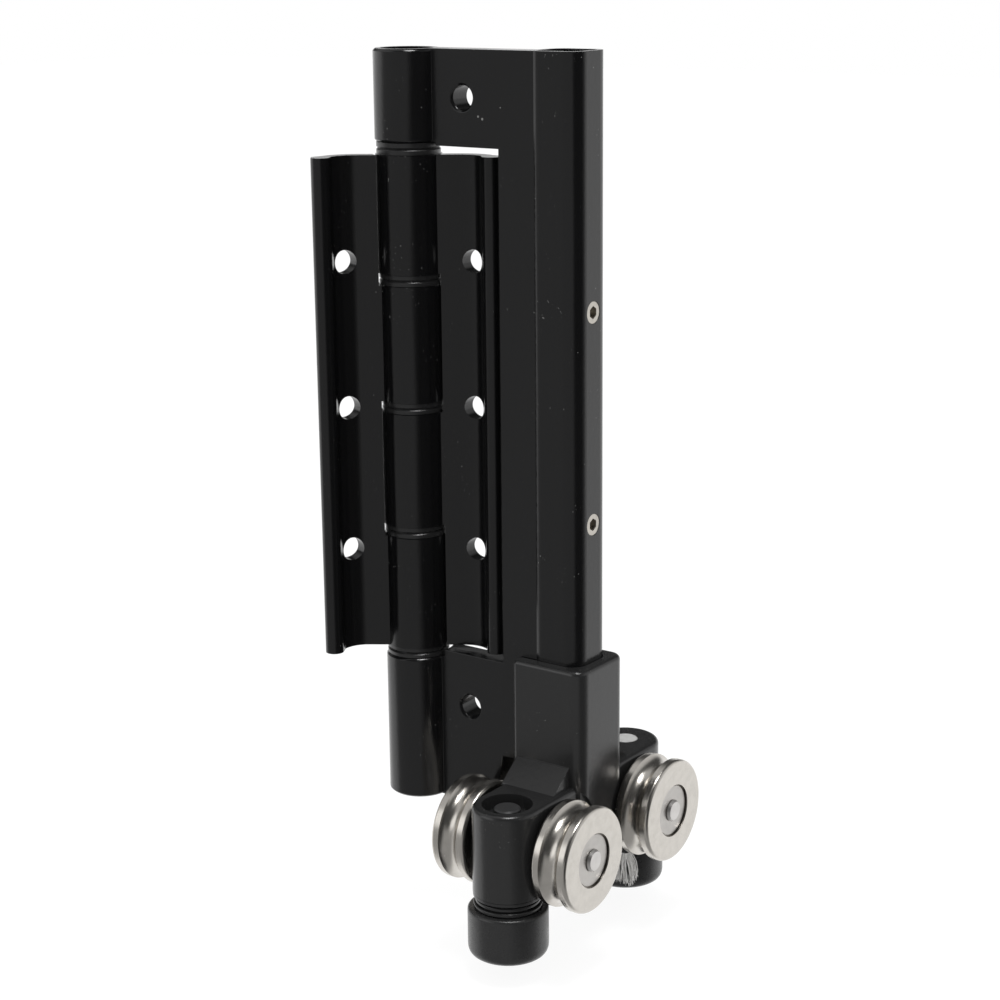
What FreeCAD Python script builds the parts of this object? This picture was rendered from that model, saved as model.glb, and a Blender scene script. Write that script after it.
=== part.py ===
import FreeCAD, Part
import os
import re

import Sketcher
from FreeCAD import Rotation, Vector

# Hinge and carriage of a folding door that rolls in a floor track.
# The frame is a letter C: a barrel, a web and a box column, cut from one extrusion. Two leaves turn
# on the pin between its arms. The column slides in the socket of a carriage with four wheels.
# Origin: front face of the web, midway between the two screw holes. X runs from the hinge to the
# column, Y is the way the track runs, away from the front of the web, and Z is up.

doc = FreeCAD.newDocument("folding_door_hinge")

SIZES = [
    ("screw_above", 10.6, "upper screw hole above the window"),
    ("screw_below", 12.5, "lower screw hole below the window"),
    ("screw_hole", 5.3, "diameter of a screw hole in the frame"),
    ("screw_hole_bevel", 0.5, "bevel round the mouth of a screw hole"),
    ("upper_arm", 20.9, "frame above the window"),
    ("lower_arm", 36.0, "frame below the window"),
    ("web_thickness", 5.6, "thickness of the web"),
    ("hinge_reach", 15.5, "hinge axis to the line of the screw holes"),
    ("hinge_setback", 1.0, "hinge axis behind the front of the web"),
    ("barrel_radius", 7.5, "outside radius of barrel and knuckles"),
    ("barrel_bore", 5.8, "bore radius of barrel and knuckles"),
    ("barrel_bevel", 0.5, "bevel on the ends of barrel and knuckles"),
    ("window_side", 9.6, "upright edge of the window from the screw holes"),
    ("seat_depth_top", 0.7, "upper arm faced back from the window's edge"),
    ("seat_depth_base", 1.6, "lower arm faced back from the window's edge"),
    ("seat_radius", 8.3, "radius of the facing cut"),
    ("column_gap", 16.6, "screw holes to the column"),
    ("column_width", 13.5, "column along X"),
    ("column_depth", 12.8, "column along Y"),
    ("column_proud", 0.3, "column front in front of the web"),
    ("column_corner", 3.8, "outside corner radius of the column"),
    ("column_wall", 1.4, "wall of the column"),
    ("notch_lift", 2.2, "top of the notch under the web, above the beam"),
    ("notch_step_lift", 7.1, "step of the notch above the axles"),
    ("notch_inner", 9.2, "notch at its top, from the screw holes"),
    ("notch_lower", 8.1, "notch at its step, from the screw holes"),
    ("notch_wheel", 4.2, "notch beside the wheel, from the screw holes"),
    ("leaf_space_top", 2.1, "leaves below the window's upper edge"),
    ("leaf_space_base", 0.8, "leaves above the window's lower edge"),
    ("knuckle_length", 26.4, "length of a knuckle"),
    ("knuckle_space", 2.6, "space between two knuckles"),
    ("leaf_angle", 33.2, "plan angle of the right leaf from X"),
    ("leaf_front", 4.0, "front of a leaf's flat, from the hinge axis"),
    ("leaf_thickness", 3.0, "thickness of a leaf"),
    ("cove_start", 11.3, "hinge axis to the start of the cove"),
    ("cove_radius", 5.8, "radius of the cove"),
    ("cove_end", 16.4, "hinge axis to the end of the cove"),
    ("lip_centre", 18.7, "hinge axis to the middle of the lip"),
    ("lip_radius", 2.1, "radius of the lip"),
    ("lip_front", 11.2, "front of the lip, from the hinge axis"),
    ("lip_back", 7.2, "back corner of the lip, from the hinge axis"),
    ("leaf_hole", 5.3, "diameter of a screw hole in a leaf"),
    ("leaf_hole_reach", 14.4, "hinge axis to a screw hole in a leaf"),
    ("leaf_hole_pitch", 33.2, "between screw holes in a leaf"),
    ("leaf_swing_gap", 0.5, "leaf plate to the other leaf's knuckle"),
    ("pin_radius", 4.0, "radius of the hinge pin"),
    ("pin_inset", 1.5, "pin end below the end of the frame"),
    ("bush_flange", 7.2, "radius of a bush's flange"),
    ("bush_groove", 0.35, "depth of the groove round the flange"),
    ("bush_length", 8.0, "length of a bush's sleeve in a knuckle"),
    ("running_gap", 0.09, "radial gap of a running fit"),
    ("seat_gap", 0.05, "radial gap of a fixed fit"),
    ("end_gap", 0.1, "end gap between pieces that turn"),
    ("lock_screw_radius", 2.4, "radius of a lock screw"),
    ("lock_screw_length", 3.3, "length of a lock screw"),
    ("lock_screw_key", 2.5, "across the flats of its socket"),
    ("lock_screw_top", 24.6, "upper lock screw above the origin"),
    ("lock_screw_spacing", 47.4, "between the two lock screws"),
    ("block_margin", 9.0, "adjuster block beyond the lock screws"),
    ("adjuster_radius", 3.0, "radius of the adjuster screw"),
    ("adjuster_top", 6.0, "top of the adjuster screw below the origin"),
    ("adjuster_collar", 4.7, "radius of the adjuster screw's collar"),
    ("adjuster_collar_height", 2.4, "height of that collar"),
    ("adjuster_key", 3.0, "across the flats of its socket"),
    ("socket_gap", 0.12, "gap between the column and its socket"),
    ("sleeve_wall", 2.6, "wall of the sleeve"),
    ("sleeve_rise", 27.4, "top of the sleeve above the beam"),
    ("sleeve_corner", 3.1, "corner radius of the sleeve on its right side"),
    ("sleeve_left_corner", 1.5, "corner radius of the sleeve beside the web"),
    ("sleeve_rim", 1.1, "rounding of the sleeve's rim"),
    ("column_travel", 3.8, "floor of the socket below the frame"),
    ("clip_height", 1.0, "thickness of a retaining clip"),
    ("clip_radius", 4.5, "radius of a retaining clip"),
    ("slot_gap", 0.3, "gap between the web and its slot"),
    ("beam_floor", 5.6, "beam under the socket"),
    ("beam_height", 20.5, "height of the carriage's beam"),
    ("beam_edge", 1.2, "rounding of the beam's upper edge"),
    ("beam_radius", 7.9, "half the width of the beam, rounded at its ends"),
    ("boss_reach", 24.4, "carriage centre to a guide roller's axis"),
    ("gusset_rise", 4.75, "top of a gusset above the beam"),
    ("gusset_reach", 6.1, "gusset in front of the sleeve"),
    ("gusset_width", 12.5, "width of a gusset"),
    ("neck_radius", 6.6, "radius of the neck over a guide roller"),
    ("neck_height", 1.7, "height of that neck"),
    ("collar_radius", 5.5, "radius of the collar under the neck"),
    ("axle_before_boss", 7.5, "axle to the guide roller's axis"),
    ("axle_lift", 8.7, "axles above the underside of the beam"),
    ("axle_radius", 2.2, "radius of an axle"),
    ("axle_head", 2.55, "radius of an axle's riveted end"),
    ("axle_head_height", 0.75, "height of that end"),
    ("hub_radius", 4.2, "radius of a hub on the beam"),
    ("wheel_radius", 12.0, "radius of a wheel's flanges"),
    ("wheel_width", 9.0, "width of a wheel"),
    ("wheel_offset", 13.6, "carriage centre to the middle of a wheel"),
    ("wheel_edge", 0.8, "rounding of a wheel's edges"),
    ("wheel_groove", 2.75, "radius of the groove round a wheel"),
    ("wheel_groove_width", 4.9, "width of that groove"),
    ("wheel_space", 2.0, "clearance round a wheel in the sleeve's side"),
    ("wheel_side_space", 0.5, "clearance between a wheel's side and the sleeve"),
    ("bearing_radius", 6.2, "outside radius of a wheel bearing"),
    ("bearing_inset", 0.5, "bearing face behind the wheel's face"),
    ("bearing_ring", 0.4, "width of the sunk ring round a bearing"),
    ("bearing_ring_depth", 0.7, "depth of that ring"),
    ("roller_radius", 9.1, "radius of a guide roller"),
    ("roller_height", 10.6, "height of a guide roller"),
    ("roller_space", 3.6, "guide roller below the beam"),
    ("roller_edge", 2.2, "rounding of a guide roller's lower edge"),
    ("roller_recess", 5.5, "radius of the recess under a guide roller"),
    ("roller_recess_depth", 3.2, "depth of that recess"),
    ("roller_pin", 2.6, "radius of a guide roller's pin"),
    ("roller_pin_head", 3.0, "radius of that pin's head"),
    ("roller_pin_head_height", 2.4, "height of that head"),
    ("front_recess", 5.7, "radius of the recess over the front pin"),
    ("front_recess_depth", 3.2, "depth of that recess"),
    ("brush_space", 0.3, "brush in front of the rear guide roller"),
    ("brush_depth", 3.4, "depth of the brush's holder"),
    ("brush_holder_height", 2.6, "height of the brush's holder"),
    ("brush_height", 10.6, "tips of the bristles below the beam"),
    ("tuft_radius", 0.95, "radius of a tuft of bristles"),
]

# Places worked out from the sizes.
PLACES = {
    "leaf_length": "4 * knuckle_length + 3 * knuckle_space",
    "window_height": "leaf_length + leaf_space_top + leaf_space_base",
    "screw_spacing": "window_height + screw_above + screw_below",
    "window_top": "screw_spacing / 2 - screw_above",
    "window_base": "screw_spacing / 2 - screw_below",
    "frame_rise": "window_top + upper_arm",
    "frame_drop": "window_base + lower_arm",
    "frame_height": "frame_rise + frame_drop",
    "hinge_x": "-hinge_reach",
    "hinge_y": "hinge_setback",
    "column_right": "column_gap + column_width",
    "column_back": "column_depth - column_proud",
    "centre_x": "column_gap + column_width / 2",
    "centre_y": "column_depth / 2 - column_proud",
    "arm_under": "window_top + seat_depth_top",
    "arm_over": "window_base + seat_depth_base",
    "leaf_top": "window_top - leaf_space_top",
    "leaf_base": "leaf_top - leaf_length",
    "leaf_centre": "leaf_top - leaf_length / 2",
    "knuckle_step": "knuckle_length + knuckle_space",
    "swing_radius": "barrel_radius + leaf_swing_gap",
    "leaf_back": "leaf_front - leaf_thickness",
    "cove_centre": "leaf_front + cove_radius",
    "cove_back_radius": "cove_radius + leaf_thickness",
    "bush_outer": "barrel_bore - running_gap",
    "bush_inner": "pin_radius + running_gap",
    "socket_width": "column_width + 2 * socket_gap",
    "socket_depth": "column_depth + 2 * socket_gap",
    "socket_floor": "frame_drop + column_travel",
    "beam_base": "socket_floor + beam_floor",
    "beam_top": "beam_base - beam_height",
    "sleeve_top": "beam_top - sleeve_rise",
    "notch_top": "beam_top - notch_lift",
    "notch_step": "axle_drop - notch_step_lift",
    "axle_drop": "beam_base - axle_lift",
    "axle_reach": "boss_reach - axle_before_boss",
    "roller_top": "beam_base + roller_space",
    "sleeve_width": "socket_width + 2 * sleeve_wall",
    "sleeve_depth": "socket_depth + 2 * sleeve_wall",
    "sleeve_front": "centre_y - sleeve_depth / 2",
    "sleeve_back": "centre_y + sleeve_depth / 2",
    "bearing_width": "wheel_width - 2 * bearing_inset",
    "hub_face": "wheel_offset - bearing_width / 2 - end_gap",
    "axle_end": "wheel_offset + bearing_width / 2 + end_gap",
    "collar_base": "roller_top - end_gap",
    "roller_base": "roller_top + roller_height",
    "roller_recess_top": "roller_base - roller_recess_depth",
    "lock_screw_lower": "lock_screw_top - lock_screw_spacing",
    "cavity_width": "column_width - 2 * column_wall",
    "cavity_depth": "column_depth - 2 * column_wall",
    "cavity_corner": "column_corner - column_wall",
    "clip_seat": "beam_base - clip_height - 2 * end_gap - 0.8",
    "wheel_inner": "wheel_offset - wheel_width / 2",
    "scallop_face": "wheel_inner - wheel_side_space",
    "brush_reach": "boss_reach - roller_radius - brush_space - brush_depth / 2",
    "brush_width": "2 * (wheel_inner - wheel_side_space)",
    "tuft_pitch": "(brush_width - 2 * tuft_radius - 1) / 6",
}

sheet = doc.addObject("Spreadsheet::Sheet", "Sizes")
for row, (alias, size, note) in enumerate(SIZES, 1):
    sheet.set(f"A{row}", note)
    sheet.set(f"B{row}", str(size))
    sheet.setAlias(f"B{row}", alias)
doc.recompute()
ALIASES = {alias for alias, size, note in SIZES}


def formula(text):
    """Write a formula in the sheet's cells, with the places replaced by their own formulas."""
    def word(match):
        name = match.group(0)
        if name in ALIASES:
            return "Sizes." + name
        if name in PLACES:
            return "(" + formula(PLACES[name]) + ")"
        return name
    return re.sub(r"[a-z][a-z_]+", word, str(text))


def value(text):
    """The number that a formula gives now."""
    return float(sheet.evalExpression(formula(text)))


def new_body(name):
    body = doc.addObject("PartDesign::Body", name)
    body.Label = name
    return body


def place(body, x="0", y="0", z="0"):
    """Put a piece at a point given by formulas."""
    for axis, text in zip("xyz", (x, y, z)):
        body.setExpression("Placement.Base." + axis, formula(text))


def sketch_on(body, role, name, lift="0"):
    """A sketch on one of the body's own origin planes, lifted along that plane's normal."""
    sketch = body.newObject("Sketcher::SketchObject", name)
    support = next(plane for plane in body.Origin.OriginFeatures if plane.Role == role)
    sketch.AttachmentSupport = [(support, "")]
    sketch.MapMode = "FlatFace"
    sketch.setExpression("AttachmentOffset.Base.z", formula(lift))
    return sketch


def hold(sketch, geometry, point, x, y):
    """Fix one point of a sketch at the formulas x and y."""
    for kind, text, axis in (("DistanceX", x, -2), ("DistanceY", y, -1)):
        if str(text) == "0":
            sketch.addConstraint(Sketcher.Constraint("PointOnObject", geometry, point, axis))
        else:
            number = sketch.addConstraint(
                Sketcher.Constraint(kind, -1, 1, geometry, point, value(text)))
            sketch.setExpression(f"Constraints[{number}]", formula(text))


def circle(sketch, x, y, radius):
    centre = Vector(value(x), value(y), 0)
    number = sketch.addGeometry(Part.Circle(centre, Vector(0, 0, 1), value(radius)))
    hold(sketch, number, 3, x, y)
    size = sketch.addConstraint(Sketcher.Constraint("Radius", number, value(radius)))
    sketch.setExpression(f"Constraints[{size}]", formula(radius))


def outline(sketch, corners):
    """A closed outline through corners (x, y). A corner (x, y, radius, side) starts an arc to the
    next one, whose centre lies to the left of the way there for side 1 and to the right for -1."""
    points = [Vector(value(corner[0]), value(corner[1]), 0) for corner in corners]
    edges = []
    for index, corner in enumerate(corners):
        start, end = points[index], points[(index + 1) % len(points)]
        if len(corner) == 2:
            edges.append((sketch.addGeometry(Part.LineSegment(start, end)), 1, 2))
            continue
        radius, side = value(corner[2]), corner[3]
        chord = end - start
        left = Vector(-chord.y, chord.x, 0).normalize()
        rise = max(radius ** 2 - chord.Length ** 2 / 4, 0) ** 0.5
        centre = (start + end) / 2 + left * rise * side
        first, last = (start, end) if side > 0 else (end, start)
        angles = [Vector(1, 0, 0).getAngle(ray) * (1 if ray.y >= 0 else -1)
                  for ray in (first - centre, last - centre)]
        arc = Part.ArcOfCircle(Part.Circle(centre, Vector(0, 0, 1), radius), *angles)
        number = sketch.addGeometry(arc)
        edges.append((number, 1, 2) if side > 0 else (number, 2, 1))
        size = sketch.addConstraint(Sketcher.Constraint("Radius", number, radius))
        sketch.setExpression(f"Constraints[{size}]", formula(corner[2]))
    for index, (number, start, end) in enumerate(edges):
        after, after_start, after_end = edges[(index + 1) % len(edges)]
        sketch.addConstraint(Sketcher.Constraint("Coincident", number, end, after, after_start))
        hold(sketch, number, start, corners[index][0], corners[index][1])


def rectangle(sketch, x0, x1, y0, y1, corner=None):
    """A rectangle between four formulas, with rounded corners where corner is given."""
    if corner is None:
        outline(sketch, [(x0, y0), (x1, y0), (x1, y1), (x0, y1)])
        return
    r = f"({corner})"
    outline(sketch, [
        (f"{x0} + {r}", y0), (f"{x1} - {r}", y0, corner, 1),
        (x1, f"{y0} + {r}"), (x1, f"{y1} - {r}", corner, 1),
        (f"{x1} - {r}", y1), (f"{x0} + {r}", y1, corner, 1),
        (x0, f"{y1} - {r}"), (x0, f"{y0} + {r}", corner, 1)])


def volume(body):
    return body.Shape.Volume if body.Tip and not body.Shape.isNull() else 0.0


def extrude(kind, body, sketch, length, name, grows, turned_round=False):
    """Pad or pocket a sketch, and make sure that it added or removed material."""
    before = volume(body)
    feature = body.newObject("PartDesign::" + kind, name)
    feature.Profile = sketch
    feature.Reversed = turned_round
    feature.setExpression("Length", formula(length))
    sketch.Visibility = False
    doc.recompute()
    change = volume(body) - before
    if (change if grows else -change) <= 1e-6:
        raise RuntimeError(f"{body.Label}: {name} changed nothing")
    return feature


def pad(body, sketch, length, name):
    """Add material from the sketch along its plane's normal."""
    return extrude("Pad", body, sketch, length, name, True)


def pocket(body, sketch, length, name, turned_round=False):
    """Cut from the sketch against its plane's normal, or along it when turned round."""
    return extrude("Pocket", body, sketch, length, name, False, turned_round)


def turned(name, axis, corners):
    """A turned piece: an outline of (along, radius) points for an axis along X, and of
    (radius, along) points for one along Z."""
    body = new_body(name)
    sketch = sketch_on(body, "XZ_Plane", name + "_outline")
    outline(sketch, corners)
    feature = body.newObject("PartDesign::Revolution", name + "_turning")
    feature.Profile = sketch
    feature.ReferenceAxis = (sketch, ["H_Axis" if axis == "X" else "V_Axis"])
    feature.Angle = 360
    sketch.Visibility = False
    doc.recompute()
    return body


def edges_of(feature, test):
    """Names of a feature's edges whose middle and length pass a test."""
    names = []
    for number, edge in enumerate(feature.Shape.Edges, 1):
        middle = edge.valueAt((edge.FirstParameter + edge.LastParameter) / 2)
        if test(edge, middle):
            names.append(f"Edge{number}")
    if not names:
        raise RuntimeError(f"{feature.Label}: no edge to dress")
    return names


def dress(kind, body, feature, names, size, label):
    """Round or bevel edges of a feature."""
    result = body.newObject("PartDesign::" + kind, label)
    result.Base = (feature, names)
    result.setExpression("Radius" if kind == "Fillet" else "Size", formula(size))
    doc.recompute()
    return result


def hexagon(sketch, across_flats):
    """A hexagon round the sketch's origin, for a key socket."""
    corner = f"({across_flats}) / sqrt(3)"
    flat = f"({across_flats}) / 2"
    outline(sketch, [(corner, "0"), (f"{corner} / 2", flat), (f"-{corner} / 2", flat),
                     (f"-{corner}", "0"), (f"-{corner} / 2", f"-{flat}"), (f"{corner} / 2", f"-{flat}")])


def make_hinge_frame():
    """Barrel, web and box column in one extrusion, with the window cut out between two arms."""
    body = new_body("hinge_frame")

    barrel = sketch_on(body, "XY_Plane", "barrel", "-frame_drop")
    circle(barrel, "hinge_x", "hinge_y", "barrel_radius")
    pad(body, barrel, "frame_height", "barrel_stock")

    web = sketch_on(body, "XY_Plane", "web", "-frame_drop")
    rectangle(web, "hinge_x", "column_gap + column_corner", "0", "web_thickness")
    pad(body, web, "frame_height", "web_stock")

    notch = sketch_on(body, "XZ_Plane", "notch", "barrel_radius")
    past = "column_gap + 2 * column_corner"
    outline(notch, [(past, "-notch_top"), ("notch_inner", "-notch_top"),
                    ("notch_lower", "-notch_step"), ("notch_wheel", "-notch_step"),
                    ("notch_wheel", "-frame_drop - 1"), (past, "-frame_drop - 1")])
    pocket(body, notch, "3 * barrel_radius", "notch_cut")

    column = sketch_on(body, "XY_Plane", "column", "-frame_drop")
    rectangle(column, "column_gap", "column_right", "-column_proud", "column_back", "column_corner")
    pad(body, column, "frame_height", "column_stock")

    bore = sketch_on(body, "XY_Plane", "barrel_bore_section", "frame_rise")
    circle(bore, "hinge_x", "hinge_y", "barrel_bore")
    pocket(body, bore, "frame_height", "barrel_bore_cut")

    cavity = sketch_on(body, "XY_Plane", "column_cavity", "frame_rise")
    rectangle(cavity, "column_gap + column_wall", "column_right - column_wall",
              "column_wall - column_proud", "column_back - column_wall", "cavity_corner")
    pocket(body, cavity, "frame_height", "column_cavity_cut")

    window = sketch_on(body, "XZ_Plane", "window", "barrel_radius")
    rectangle(window, "hinge_x - 2 * barrel_radius", "window_side", "-window_base", "window_top")
    pocket(body, window, "3 * barrel_radius", "window_cut")

    for name, top, depth in (("upper_seat", "arm_under", "seat_depth_top"),
                             ("lower_seat", "-window_base", "seat_depth_base")):
        seat = sketch_on(body, "XY_Plane", name, top)
        circle(seat, "hinge_x", "hinge_y", "seat_radius")
        pocket(body, seat, depth, name + "_cut")

    holes = sketch_on(body, "XZ_Plane", "screw_holes", "barrel_radius")
    for height in ("screw_spacing / 2", "-screw_spacing / 2"):
        circle(holes, "0", height, "screw_hole / 2")
    drilled = pocket(body, holes, "3 * barrel_radius", "screw_holes_cut")

    rims = edges_of(drilled, lambda edge, middle: abs(middle.y) < 1e-4
                    and abs(edge.Length - 3.14159 * value("screw_hole")) < 0.01)
    bevelled = dress("Chamfer", body, drilled, rims, "screw_hole_bevel", "screw_hole_bevels")

    side_holes = sketch_on(body, "YZ_Plane", "lock_screw_holes", "column_right + 1")
    for height in ("lock_screw_top", "lock_screw_lower"):
        circle(side_holes, "centre_y", height, "lock_screw_radius + seat_gap")
    drilled = pocket(body, side_holes, "column_wall + 2", "lock_screw_holes_cut")

    ends = edges_of(drilled, lambda edge, middle: abs(edge.Curve.Radius - value("barrel_radius")) < 1e-4
                    if edge.Curve.TypeId == "Part::GeomCircle" else False)
    dress("Chamfer", body, drilled, ends, "barrel_bevel", "barrel_bevels")
    return body


def leaf_profile(sketch, side):
    """Section of a leaf: a flat, a cove with the screw holes and a rounded lip. Along X from the
    hinge axis, with the front of the leaf to +Y for side 1 and to -Y for side -1."""
    def y(text):
        return f"{side} * ({text})"
    cove_end_front = "cove_centre - sqrt(cove_radius ^ 2 - (cove_end - cove_start) ^ 2)"
    back_end = "cove_end + leaf_thickness - 0.4"
    cove_end_back = f"cove_centre - sqrt(cove_back_radius ^ 2 - ({back_end} - cove_start) ^ 2)"
    lip_middle = "lip_front - lip_radius"
    outline(sketch, [
        ("barrel_bore + 0.1", y("leaf_back")),
        ("barrel_bore + 0.1", y("leaf_front")),
        ("cove_start", y("leaf_front"), "cove_radius", side),
        ("cove_end", y(cove_end_front)),
        ("lip_centre - lip_radius", y(lip_middle), "lip_radius", -side),
        ("lip_centre", y("lip_front"), "lip_radius", -side),
        ("lip_centre + lip_radius", y(lip_middle)),
        ("lip_centre + lip_radius", y("lip_back")),
        (back_end, y(cove_end_back), "cove_back_radius", -side),
        ("cove_start", y("leaf_back"))])


def make_leaf(name, side, first, angle):
    """A leaf with its two knuckles. The first knuckle is number 0 or 1 from the top."""
    body = new_body(name)
    section = sketch_on(body, "XY_Plane", name + "_section", "leaf_base")
    leaf_profile(section, side)
    pad(body, section, "leaf_length", name + "_plate")

    own = [first, first + 2]
    for number in (0, 1, 2, 3):
        if number in own:
            continue
        top = f"leaf_top - {number} * knuckle_step + knuckle_space"
        swing = sketch_on(body, "XY_Plane", f"{name}_swing_{number}", top)
        circle(swing, "0", "0", "swing_radius")
        pocket(body, swing, "knuckle_length + 2 * knuckle_space", f"{name}_swing_cut_{number}")

    for number in own:
        base = f"leaf_top - {number} * knuckle_step - knuckle_length"
        knuckle = sketch_on(body, "XY_Plane", f"{name}_knuckle_{number}", base)
        circle(knuckle, "0", "0", "barrel_radius")
        circle(knuckle, "0", "0", "barrel_bore")
        pad(body, knuckle, "knuckle_length", f"{name}_knuckle_tube_{number}")

    lean = f"asin((leaf_hole_reach - cove_start) / cove_radius)"
    drill = sketch_on(body, "XZ_Plane", name + "_holes")
    for step in (-1, 0, 1):
        circle(drill, "0", f"leaf_centre + {step} * leaf_hole_pitch", "leaf_hole / 2")
    front = f"cove_centre - sqrt(cove_radius ^ 2 - (leaf_hole_reach - cove_start) ^ 2)"
    turn = f"{'180 deg + ' if side > 0 else '-'}{lean}"
    drill.AttachmentOffset = FreeCAD.Placement(Vector(), Rotation(Vector(0, 1, 0), 1))
    drill.setExpression("AttachmentOffset.Rotation.Angle", formula(turn))
    drill.setExpression("AttachmentOffset.Base.x",
                        formula(f"leaf_hole_reach - 10 * sin({lean})"))
    drill.setExpression("AttachmentOffset.Base.z",
                        formula(f"{-side} * ({front} + 10 * cos({lean}))"))
    pocket(body, drill, "20", name + "_holes_cut")

    body.Placement = FreeCAD.Placement(Vector(), Rotation(Vector(0, 0, 1), 1))
    place(body, "hinge_x", "hinge_y")
    body.setExpression("Placement.Rotation.Angle", formula(angle))
    return body


def make_hinge_pin():
    """Round pin through the barrel, bevelled at both ends."""
    top = "frame_rise - pin_inset"
    base = "-frame_drop + pin_inset"
    body = turned("hinge_pin", "Z", [
        ("0", base), ("pin_radius - 0.5", base), ("pin_radius", f"{base} + 0.5"),
        ("pin_radius", f"{top} - 0.5"), ("pin_radius - 0.5", top), ("0", top)])
    place(body, "hinge_x", "hinge_y")


def make_bush(name, top, base, above, below):
    """Bush with a grooved flange between two formulas, and a sleeve above and below it."""
    middle = f"(({top}) + ({base})) / 2"
    body = turned(name, "Z", [
        ("bush_inner", f"{base} - ({below})"), ("bush_outer", f"{base} - ({below})"),
        ("bush_outer", base), ("bush_flange", base),
        ("bush_flange", f"{middle} - bush_groove"), ("bush_flange - bush_groove", middle),
        ("bush_flange", f"{middle} + bush_groove"), ("bush_flange", top),
        ("bush_outer", top), ("bush_outer", f"{top} + ({above})"),
        ("bush_inner", f"{top} + ({above})")])
    place(body, "hinge_x", "hinge_y")


def make_bushes():
    """Five bushes: one in each arm of the frame and one between each two knuckles."""
    make_bush("top_bush", "arm_under - end_gap", "leaf_top + end_gap",
              "frame_rise - arm_under - 2 * pin_inset", "bush_length")
    for number, name in enumerate(("upper_bush", "middle_bush", "lower_bush")):
        under = f"leaf_top - {number} * knuckle_step - knuckle_length"
        make_bush(name, f"{under} - end_gap", f"{under} - knuckle_space + end_gap",
                  "bush_length", "bush_length")
    make_bush("bottom_bush", "leaf_base - end_gap", "-arm_over + end_gap",
              "bush_length", "frame_drop - arm_over - 2 * pin_inset")


def make_adjuster_block():
    """Block inside the column that the lock screws hold, bored through for the adjuster screw."""
    body = new_body("adjuster_block")
    top = "lock_screw_top + block_margin"
    section = sketch_on(body, "XY_Plane", "block_section", "lock_screw_lower - block_margin")
    rectangle(section, "centre_x - cavity_width / 2 + socket_gap", "centre_x + cavity_width / 2 - socket_gap",
              "centre_y - cavity_depth / 2 + socket_gap", "centre_y + cavity_depth / 2 - socket_gap",
              "cavity_corner")
    pad(body, section, "lock_screw_spacing + 2 * block_margin", "block_stock")
    bore = sketch_on(body, "XY_Plane", "block_bore", top)
    circle(bore, "centre_x", "centre_y", "adjuster_radius + running_gap")
    pocket(body, bore, "lock_screw_spacing + 2 * block_margin", "block_bore_cut")
    seats = sketch_on(body, "YZ_Plane", "lock_screw_seats", "column_right")
    for height in ("lock_screw_top", "lock_screw_lower"):
        circle(seats, "centre_y", height, "lock_screw_radius + seat_gap")
    pocket(body, seats, "lock_screw_length + 0.2", "lock_screw_seats_cut")


def make_adjuster_screw():
    """Long screw that lifts the frame: it turns in the carriage and is reached down the column."""
    journal = "adjuster_radius - 0.1"
    floor = "-socket_floor"
    top = "-adjuster_top"
    body = turned("adjuster_screw", "Z", [
        ("0", "-beam_base + 0.3"), (journal, "-beam_base + 0.3"), (journal, f"{floor} + end_gap"),
        ("adjuster_collar", f"{floor} + end_gap"),
        ("adjuster_collar", f"{floor} + end_gap + adjuster_collar_height"),
        ("adjuster_radius", f"{floor} + end_gap + adjuster_collar_height"),
        ("adjuster_radius", f"{top} - 0.6"), ("adjuster_radius - 0.6", top), ("0", top)])
    key = sketch_on(body, "XY_Plane", "adjuster_key_section", top)
    hexagon(key, "adjuster_key")
    pocket(body, key, "adjuster_key", "adjuster_key_cut")
    place(body, "centre_x", "centre_y")


def make_clip(name, x, y, top, inner):
    """Flat ring that keeps a pin or screw from rising."""
    body = turned(name, "Z", [
        (inner, f"{top} - clip_height"), ("clip_radius", f"{top} - clip_height"),
        ("clip_radius", top), (inner, top)])
    place(body, x, y)


def make_lock_screws():
    """Two socket screws in the side of the column, as one group."""
    screws = []
    for name, height in (("lock_screw_a", "lock_screw_top"), ("lock_screw_b", "lock_screw_lower")):
        shank = doc.addObject("Part::Cylinder", name + "_shank")
        shank.setExpression("Radius", formula("lock_screw_radius"))
        shank.setExpression("Height", formula("lock_screw_length"))
        key = doc.addObject("Part::Prism", name + "_key")
        key.Polygon = 6
        key.setExpression("Circumradius", formula("lock_screw_key / sqrt(3)"))
        key.setExpression("Height", formula("lock_screw_key"))
        key.setExpression("Placement.Base.z", formula("lock_screw_length - lock_screw_key * 0.8"))
        screw = doc.addObject("Part::Cut", name)
        screw.Base = shank
        screw.Tool = key
        screw.Placement = FreeCAD.Placement(Vector(), Rotation(Vector(0, 1, 0), 90))
        place(screw, "column_right - lock_screw_length - 0.1", "centre_y", height)
        screws.append(screw)
    group = doc.addObject("Part::Compound", "lock_screws")
    group.Label = "lock_screws"
    group.Links = screws
    doc.recompute()
    return group


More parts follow.
